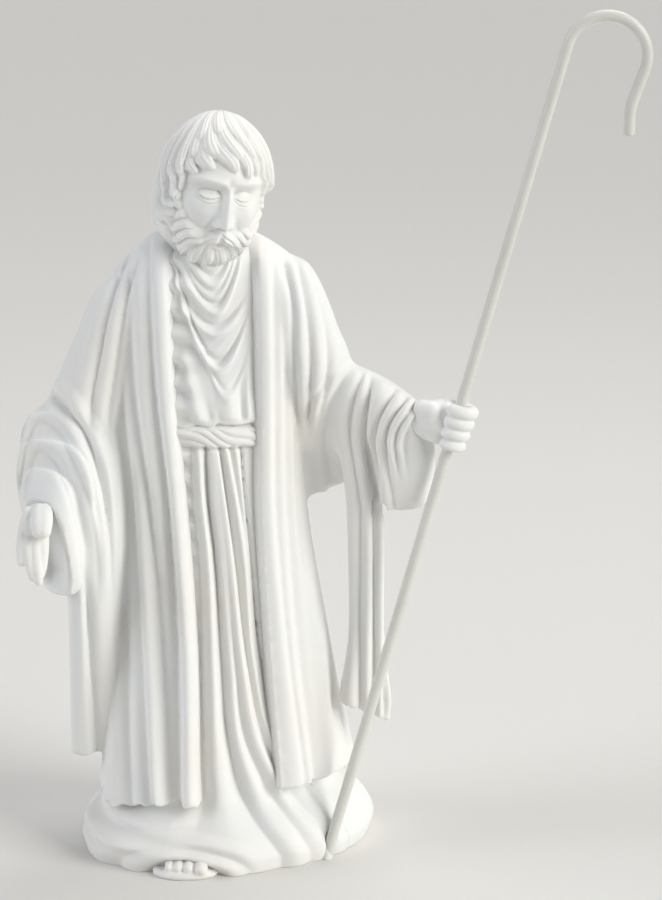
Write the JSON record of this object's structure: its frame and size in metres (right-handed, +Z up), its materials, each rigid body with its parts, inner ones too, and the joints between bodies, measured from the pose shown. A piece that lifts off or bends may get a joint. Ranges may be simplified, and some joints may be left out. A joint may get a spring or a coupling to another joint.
{
  "type": "nativity figurine",
  "caption": "Standing robed and bearded nativity figure in white bisque porcelain, one arm held out to grip a separate wire shepherd's crook.",
  "frame": {"origin": "middle of the flat underside of the figure", "axes": "+Z up, -Y the way the chest faces, +X towards the hand that holds the crook"},
  "size_m": [0.1365, 0.0597, 0.1871],
  "materials": {
    "bisque_porcelain": "unglazed matt white",
    "painted_wire": "smooth cream paint, slightly glossy"
  },
  "bodies": {
    "root": {"figure": "bisque_porcelain", "crook": "painted_wire"}
  },
  "joints": []
}
